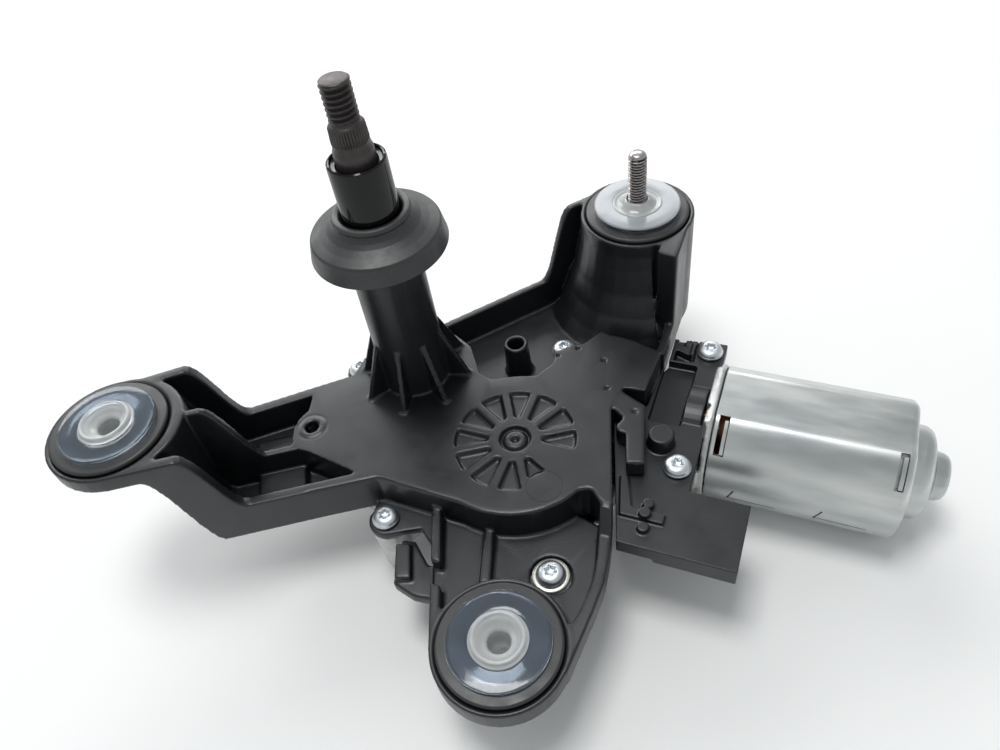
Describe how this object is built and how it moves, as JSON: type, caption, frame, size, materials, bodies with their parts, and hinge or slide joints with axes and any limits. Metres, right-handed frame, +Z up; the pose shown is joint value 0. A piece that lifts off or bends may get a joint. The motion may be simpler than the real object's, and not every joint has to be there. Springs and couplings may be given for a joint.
{
  "type": "rear wiper motor assembly",
  "caption": "Rear wiper motor and gearbox on a three-point bracket: a worm drive and toothed link swing an upright output spindle.",
  "frame": {"origin": "centre of the bounding box, on the underside of the gear housing", "axes": "+Z up along the output spindle; +X along the motor, towards its closed end; +Y from the low front eye towards the tower"},
  "size_m": [0.2434, 0.1764, 0.1381],
  "materials": {
    "black_plastic": "moulded, fine grain",
    "gloss_black_plastic": "smooth, glossy",
    "black_rubber": "matte",
    "natural_nylon": "translucent, natural",
    "cast_aluminium": "as cast",
    "zinc_plated_steel": "zinc plated",
    "steel": "machined",
    "phosphated_steel": "phosphated, dark",
    "sintered_bronze": "sintered",
    "copper": "copper wire and segments",
    "ferrite": "sintered, dark",
    "phenolic_brown": "laminate"
  },
  "bodies": {
    "base": {"mounting_bracket": "black_plastic", "connector_housing": "black_plastic", "spindle_sleeve": "gloss_black_plastic", "sealing_collar": "black_rubber", "shaft_seal": "black_rubber", "grommet_left": "black_rubber", "grommet_rear": "black_rubber", "grommet_front": "black_rubber", "bush_left": "natural_nylon", "bush_rear": "natural_nylon", "bush_front": "natural_nylon", "thrust_pad": "natural_nylon", "gear_housing": "cast_aluminium", "motor_can": "zinc_plated_steel", "cover_screw_front_left": "zinc_plated_steel", "cover_screw_front_right": "zinc_plated_steel", "cover_screw_rear": "zinc_plated_steel", "cover_screw_left": "zinc_plated_steel", "motor_screw_rear": "zinc_plated_steel", "motor_screw_front": "zinc_plated_steel", "connector_terminal_1": "zinc_plated_steel", "connector_terminal_2": "zinc_plated_steel", "connector_terminal_3": "zinc_plated_steel", "connector_terminal_4": "zinc_plated_steel", "thrust_washer": "steel", "wheel_axle": "steel", "mounting_stud": "steel", "brush_spring_front": "steel", "brush_spring_rear": "steel", "upper_shaft_bush": "sintered_bronze", "lower_shaft_bush": "sintered_bronze", "rear_bearing": "sintered_bronze", "front_bearing": "sintered_bronze", "magnet_front": "ferrite", "magnet_rear": "ferrite", "brush_front": "ferrite", "brush_rear": "ferrite", "brush_holder": "phenolic_brown"},
    "output_shaft": {"output_shaft": "phosphated_steel", "output_pinion": "steel"},
    "guide_link": {"guide_link": "steel", "guide_link_pin": "steel"},
    "sector_link": {"sector_link": "steel"},
    "worm_wheel": {"worm_wheel": "natural_nylon", "crank_pin": "steel"},
    "armature": {"armature_shaft": "steel", "armature_core": "steel", "armature_windings": "copper", "commutator": "copper"}
  },
  "joints": [
    {"name": "output_spin", "type": "hinge", "parent": "base", "child": "output_shaft", "pos_m": [-0.04035, 0.0065, 0.0355], "axis": [0, 0, 1], "range_deg": [-60, 60]},
    {"name": "guide_link_pivot", "type": "hinge", "parent": "base", "child": "guide_link", "pos_m": [-0.04035, 0.0065, 0.0223], "axis": [0, 0, 1], "range_deg": [-24.5, 24.5]},
    {"name": "sector_link_pivot", "type": "hinge", "parent": "guide_link", "child": "sector_link", "pos_m": [-0.03908, -0.01346, 0.0275], "axis": [0, 0, 1], "range_deg": [-24.5, 24.5]},
    {"name": "armature_spin", "type": "hinge", "parent": "base", "child": "armature", "pos_m": [0.07965, 0.0209, 0.0189], "axis": [1, 0, 0], "continuous": true},
    {"name": "worm_wheel_spin", "type": "hinge", "parent": "base", "child": "worm_wheel", "pos_m": [0.00055, -0.0109, 0.0185], "axis": [0, 0, 1], "continuous": true}
  ],
  "couplings": [
    {"joint": "guide_link_pivot", "follows": "output_spin", "ratio": 0.4},
    {"joint": "sector_link_pivot", "follows": "output_spin", "ratio": -0.4},
    {"joint": "worm_wheel_spin", "follows": "armature_spin", "ratio": 0.022727}
  ]
}
